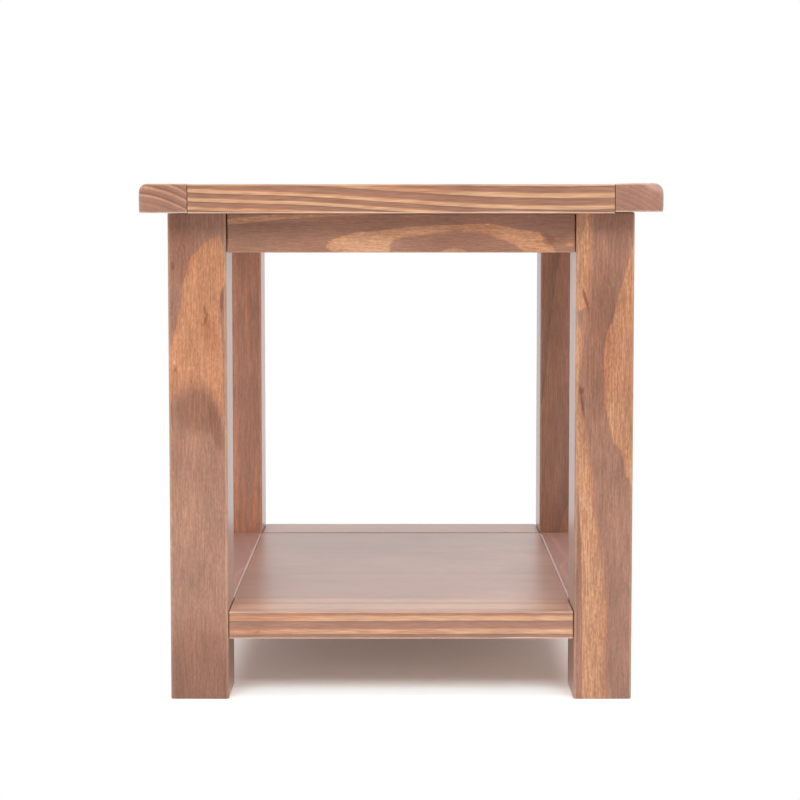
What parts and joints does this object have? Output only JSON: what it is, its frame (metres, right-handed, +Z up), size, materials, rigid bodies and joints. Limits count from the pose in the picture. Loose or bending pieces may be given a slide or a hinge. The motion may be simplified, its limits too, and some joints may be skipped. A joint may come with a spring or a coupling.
{
  "type": "end table with shelf",
  "caption": "Square end table in solid stained pine with a breadboard top, square legs, low aprons and a framed lower shelf.",
  "frame": {"origin": "on the floor under the middle of the top", "axes": "+Z up, front (the side the picture shows) towards -Y, +X to the right as seen from the front"},
  "size_m": [0.555, 0.555, 0.5605],
  "materials": {
    "stained_pine": "reddish brown stain under satin lacquer",
    "raw_pine": "sawn, unfinished",
    "beech_dowel": "unfinished, glued",
    "zinc_plated_steel": "bright zinc plating"
  },
  "bodies": {
    "root": {"top_board_1": "stained_pine", "top_board_2": "stained_pine", "top_board_3": "stained_pine", "top_board_4": "stained_pine", "top_board_5": "stained_pine", "top_end_left": "stained_pine", "top_end_right": "stained_pine", "leg_front_left": "stained_pine", "leg_front_right": "stained_pine", "leg_back_left": "stained_pine", "leg_back_right": "stained_pine", "apron_front": "stained_pine", "apron_back": "stained_pine", "apron_left": "stained_pine", "apron_right": "stained_pine", "shelf_front_board": "stained_pine", "shelf_back_board": "stained_pine", "shelf_side_board_left": "stained_pine", "shelf_side_board_right": "stained_pine", "shelf_panel_board_front": "stained_pine", "shelf_panel_board_middle": "stained_pine", "shelf_panel_board_back": "stained_pine", "corner_block_front_left": "raw_pine", "corner_block_front_right": "raw_pine", "corner_block_back_left": "raw_pine", "corner_block_back_right": "raw_pine", "apron_dowels": "beech_dowel", "shelf_leg_dowels": "beech_dowel", "shelf_panel_dowels": "beech_dowel", "top_end_dowels": "beech_dowel", "hanger_bolts": "zinc_plated_steel", "hanger_washers": "zinc_plated_steel", "hanger_nuts": "zinc_plated_steel", "corner_block_screws": "zinc_plated_steel", "top_screws": "zinc_plated_steel"}
  },
  "joints": []
}
